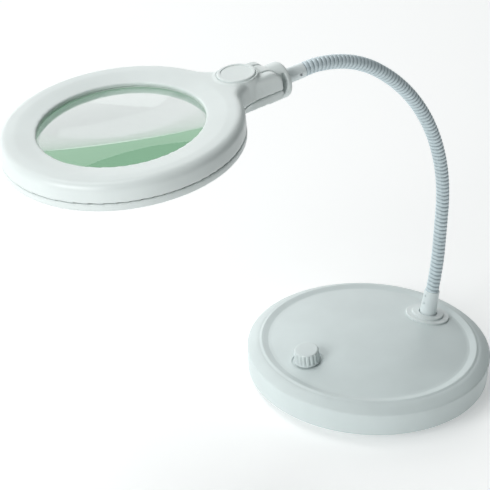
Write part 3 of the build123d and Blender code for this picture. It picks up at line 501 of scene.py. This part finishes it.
# groove round the plate, crest and slope of the rim: (radius, height) in millimetres
rim_outline = [(87.3, 30.84), (90.0, 31.44), (92.3, 31.98), (92.9, 32.02), (93.4, 31.82), (94.5, 31.20),
               (95.0, 31.00), (95.6, 30.98), (98.0, 30.0), (101.0, 28.45), (103.0, 27.2)]


def dome(radius, drop=0.0, outward=True):
    """(radius, height) down the plate's shallow dome."""
    rows, steps = [], 26
    for step in range(steps + 1):
        here = radius * max(step, 0.02) / steps
        rows.append((here, apex - drop - (apex - plate_edge) * (here / plate_radius) ** 2))
    return rows if outward else rows[::-1]


def cover_profile():
    """(radius, height) from the middle of the top, over the crest and the rim, back underneath."""
    rows = dome(plate_radius)
    rows += [(radius * MM, height * MM) for radius, height in rim_outline]
    rows += arc((rim_radius - 2.2 * MM, 24.7 * MM), rim_round, 62, 2, 8)
    rows += [(rim_radius - 0.8 * MM, rim_bottom + 0.2 * MM), (rim_radius - 1.0 * MM, rim_bottom),
             (rim_radius - 3.6 * MM, rim_bottom),
             (rim_radius - 3.9 * MM, 22.5 * MM), (92.9 * MM, 28.2 * MM)]
    return rows + dome(plate_radius, wall, outward=False)


cover_rings = turned(Matrix.Identity(4), cover_profile()[::-1], 256)
cover = new_object("cover_shell", grid_mesh("cover_shell", cover_rings))
drill(cover, knob_place, well_radius, -well_depth, above_cover, 96)
drill(cover, knob_place, bush_hole_radius, below_cover, above_cover, 48)
drill(cover, foot_place, neck_hole_radius, below_cover, above_cover, 48)
wear(cover, "base_shell")
shade_smooth(cover.data)
keep_edges(cover, 38)
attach(cover, "base")
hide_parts("base_cover")

# ------------------------------------------------------------------ dimmer knob
knob_radius = 11.0 * MM
knob_bottom = 0.6 * MM
knob_top = 11.8 * MM
flute_count = 18
flute_depth = 0.75 * MM
flute_sharpness = 1.6
knob_taper = 0.45 * MM
side_steps = 12


def knob_profile():
    """(radius, height, share of the flute's depth) from the underside to the middle of the top."""
    rows = [(0.5 * MM, knob_bottom, 0), (knob_radius - 1.2 * MM, knob_bottom, 0)]
    lower_edge = arc((knob_radius - 0.2 * MM, knob_bottom + 0.5 * MM), 0.5 * MM, -90, 60, 6)
    rows += [(r, z, 0) for r, z in lower_edge]
    side_start, side_end = knob_bottom + 1.2 * MM, knob_top - 2.0 * MM
    for step in range(side_steps + 1):
        share = step / side_steps
        height = side_start + (side_end - side_start) * share
        fade = min(1.0, step / 2.0)
        rows.append((knob_radius - knob_taper * share, height, fade))
    shoulder = arc((knob_radius - 2.3 * MM, knob_top - 1.85 * MM), 1.85 * MM, 8, 90, 10)
    for step, (r, z) in enumerate(shoulder):
        rows.append((r, z, max(0.0, 1 - step / 6.0)))
    rows += [(6.0 * MM, knob_top + 0.02 * MM, 0), (3.0 * MM, knob_top + 0.1 * MM, 0),
             (0.3 * MM, knob_top + 0.12 * MM, 0)]
    return rows


knob_rows = knob_profile()


def flutes(row, radius, angle):
    """The knob's radius with its flutes cut in, as deep as the profile's row allows."""
    hollow = 0.5 + 0.5 * math.cos(flute_count * angle)
    return radius - knob_rows[row][2] * flute_depth * hollow**flute_sharpness


knob_rings = turned(knob_place, [(r, z) for r, z, _ in knob_rows], flute_count * 16, flutes)
knob = wear(new_object("fluted_knob", grid_mesh("fluted_knob", knob_rings)), "knob")
keep_edges(knob, 50)
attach(knob, joints["dimmer_turn"]["child"])
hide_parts("dimmer_knob")

# ------------------------------------------------------------------ head
shell_voxel = 0.9 * MM
knuckle_voxel = 0.6 * MM
for node, name, body, size, rounds in (
    ("head_upper_shell", "upper_shell", "head", shell_voxel, 7),
    ("head_lower_shell", "lower_shell", "head", shell_voxel, 3),
    ("knuckle", "round_knuckle", "neck_end", knuckle_voxel, 6),
):
    shell = wear(soften(node, name, size, rounds), "head_shell")
    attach(shell, body)
    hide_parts(node)

# lens, turned about the head's axis
head_slope = math.radians(7.1)
lens_low, lens_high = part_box("lens")
head_normal = Vector((0, -math.sin(head_slope), math.cos(head_slope)))
lens_centre = (lens_low + lens_high) / 2
lens_radius = 63.5 * MM
lens_curve = 346 * MM
lens_edge = 2.0 * MM
edge_break = 0.15 * MM
lens_hub = 0.2 * MM  # the first ring round the lens's middle, closed by a flat face


def lens_profile(steps=40):
    """(radius, height) from the lower face's middle, round the ground edge, to the upper's."""
    sag = lens_curve - math.sqrt(lens_curve**2 - lens_radius**2)
    lower, upper = [], []
    for step in range(steps + 1):
        radius = lens_hub + (lens_radius - lens_hub - edge_break) * step / steps
        height = lens_edge / 2 + sag - (lens_curve - math.sqrt(lens_curve**2 - radius**2))
        lower.append((radius, -height))
        upper.append((radius, height))
    edge = [(lens_radius, -lens_edge / 2 + edge_break), (lens_radius, lens_edge / 2 - edge_break)]
    return lower + edge + upper[::-1]


lens_rings = turned(frame_at(lens_centre, head_normal), lens_profile(), 192)
lens = wear(new_object("magnifier_glass", grid_mesh("magnifier_glass", lens_rings)), "lens")
keep_edges(lens, 25)
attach(lens, "head")
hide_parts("lens")


# ------------------------------------------------------------------ floor, lights and camera
def stage_floor():
    """A wide pale floor that glows a little, so that it stays white under the soft lights."""
    half = 20.0
    corners = [(-half, -half, 0), (half, -half, 0), (half, half, 0), (-half, half, 0)]
    mesh = bpy.data.meshes.new("floor")
    mesh.from_pydata(corners, [], [(0, 1, 2, 3)])
    floor = new_object("floor", mesh)
    made, _, _, shader = material("floor_paper")
    shader.inputs["Base Color"].default_value = (0.86, 0.87, 0.87, 1)
    shader.inputs["Roughness"].default_value = 0.9
    shader.inputs["Specular IOR Level"].default_value = 0.1
    shader.inputs["Emission Color"].default_value = (1, 1, 1, 1)
    shader.inputs["Emission Strength"].default_value = 0.30
    floor.data.materials.append(made)


def area_light(name, place, aim, width, height, radiance):
    """A soft box: its power follows from the brightness of its face."""
    data = bpy.data.lights.new(name, "AREA")
    data.shape = "RECTANGLE"
    data.size = width
    data.size_y = height
    data.energy = radiance * math.pi * width * height
    lamp = bpy.data.objects.new(name, data)
    bpy.context.scene.collection.objects.link(lamp)
    lamp.location = place
    lamp.rotation_euler = (Vector(aim) - Vector(place)).to_track_quat("-Z", "Y").to_euler()
    lamp.visible_camera = False


stage_floor()
# the wall box starts at the floor, and its top stands at a set angle above the lens
wall_azimuth = math.radians(169.8)
wall_distance = 2.5
wall_width = 5.0
lamp_middle = (0, -0.1, 0.15)
wall_top = lens_centre.z + wall_distance * math.tan(math.radians(46.5))
wall_place = lens_centre + wall_distance * Vector((math.cos(wall_azimuth), math.sin(wall_azimuth), 0))
wall_place.z = wall_top / 2
wall_aim = Vector((lens_centre.x, lens_centre.y, wall_place.z))
area_light("wall_box", wall_place, wall_aim, wall_width, wall_top, 1.3)
area_light("front_box", (0.35, -2.3, 1.25), lamp_middle, 1.6, 1.2, 6.0)
area_light("top_box", (-0.8, -0.6, 2.4), lamp_middle, 1.4, 1.4, 3.0)

world = bpy.data.worlds.new("studio")
world.use_nodes = True
backdrop = world.node_tree.nodes["Background"]
backdrop.inputs["Color"].default_value = (0.88, 0.95, 0.94, 1)
backdrop.inputs["Strength"].default_value = 0.16
bpy.context.scene.world = world
bpy.context.scene.view_settings.view_transform = "Standard"

camera_place = Vector((0.8597, -0.7265, 0.7561))
camera_aim = Vector((0.0002, -0.1318, 0.1664))
camera_roll = math.radians(0.736)
camera = bpy.data.objects.new("camera", bpy.data.cameras.new("camera"))
camera.data.lens = 112.85
camera.data.sensor_width = 36.0
facing = (camera_aim - camera_place).to_track_quat("-Z", "Y").to_matrix().to_4x4()
camera.matrix_world = Matrix.Translation(camera_place) @ facing @ Matrix.Rotation(camera_roll, 4, "Z")
bpy.context.scene.collection.objects.link(camera)
bpy.context.scene.camera = camera
